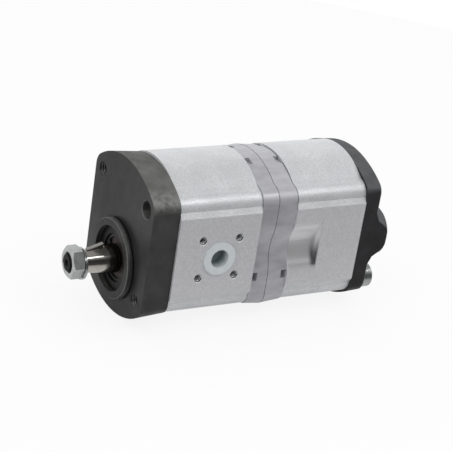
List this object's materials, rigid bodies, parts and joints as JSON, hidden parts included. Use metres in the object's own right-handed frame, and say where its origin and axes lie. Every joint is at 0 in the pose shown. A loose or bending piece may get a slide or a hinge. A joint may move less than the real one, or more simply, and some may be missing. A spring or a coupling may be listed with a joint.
{
  "type": "tandem hydraulic gear pump",
  "caption": "Tandem external gear pump: eared front flange with spigot, tapered keyed shaft end, two gear sections in line and side and rear ports.",
  "frame": {"origin": "on the drive shaft's axis in the plane of the front mounting face", "axes": "+X along the shaft towards the rear cover, +Z from the drive gear to the driven gear, the plugged side port faces -Y"},
  "size_m": [0.2036, 0.0814, 0.1],
  "materials": {
    "cover_iron": "dark satin phosphate on a fine casting, machined faces",
    "body_aluminium": "bright extruded skin with milled side faces",
    "plate_aluminium": "die-cast, matt, slightly darker than the bodies",
    "shaft_steel": "ground",
    "coupler_steel": "turned and hardened",
    "key_steel": "bright drawn",
    "zinc_steel": "pale zinc plating",
    "spring_steel": "oiled spring steel",
    "pin_steel": "ground",
    "black_rubber": "moulded",
    "brown_rubber": "moulded fluoro rubber",
    "block_aluminium": "machined",
    "bush_bronze": "lined bush",
    "plug_plastic": "translucent pale polyethylene"
  },
  "bodies": {
    "housing": {"front_cover": "cover_iron", "rear_cover": "cover_iron", "front_body": "body_aluminium", "rear_body": "body_aluminium", "front_plate": "plate_aluminium", "rear_plate": "plate_aluminium", "case_screw_1": "zinc_steel", "case_screw_2": "zinc_steel", "seal_circlip": "spring_steel", "dowel_1a": "pin_steel", "dowel_1b": "pin_steel", "dowel_2a": "pin_steel", "dowel_2b": "pin_steel", "dowel_3a": "pin_steel", "dowel_3b": "pin_steel", "dowel_4a": "pin_steel", "dowel_4b": "pin_steel", "dowel_5a": "pin_steel", "dowel_5b": "pin_steel", "spigot_oring": "black_rubber", "plate_seal": "black_rubber", "body_seal_1": "black_rubber", "body_seal_2": "black_rubber", "body_seal_3": "black_rubber", "body_seal_4": "black_rubber", "block_seal_1": "black_rubber", "block_seal_2": "black_rubber", "block_seal_3": "black_rubber", "block_seal_4": "black_rubber", "shaft_seal": "brown_rubber", "block_1": "block_aluminium", "block_2": "block_aluminium", "block_3": "block_aluminium", "block_4": "block_aluminium", "bush_1a": "bush_bronze", "bush_1b": "bush_bronze", "bush_2a": "bush_bronze", "bush_2b": "bush_bronze", "bush_3a": "bush_bronze", "bush_3b": "bush_bronze", "bush_4a": "bush_bronze", "bush_4b": "bush_bronze"},
    "drive_train": {"drive_shaft": "shaft_steel", "woodruff_key": "key_steel", "lock_washer": "zinc_steel", "shaft_nut": "zinc_steel", "shaft_coupler": "coupler_steel", "rear_drive_gear": "shaft_steel"},
    "front_driven": {"front_driven_gear": "shaft_steel"},
    "rear_driven": {"rear_driven_gear": "shaft_steel"},
    "plug": {"port_plug": "plug_plastic"}
  },
  "joints": [
    {"name": "drive_spin", "type": "hinge", "parent": "housing", "child": "drive_train", "pos_m": [0, 0, 0], "axis": [1, 0, 0], "continuous": true},
    {"name": "front_driven_spin", "type": "hinge", "parent": "housing", "child": "front_driven", "pos_m": [0, 0, 0.031], "axis": [1, 0, 0], "continuous": true},
    {"name": "rear_driven_spin", "type": "hinge", "parent": "housing", "child": "rear_driven", "pos_m": [0, 0, 0.031], "axis": [1, 0, 0], "continuous": true},
    {"name": "plug_pull", "type": "slide", "parent": "housing", "child": "plug", "axis": [0, -1, 0], "range_m": [0, 0.02]}
  ],
  "couplings": [
    {"joint": "front_driven_spin", "follows": "drive_spin", "ratio": -1},
    {"joint": "rear_driven_spin", "follows": "drive_spin", "ratio": -1}
  ]
}
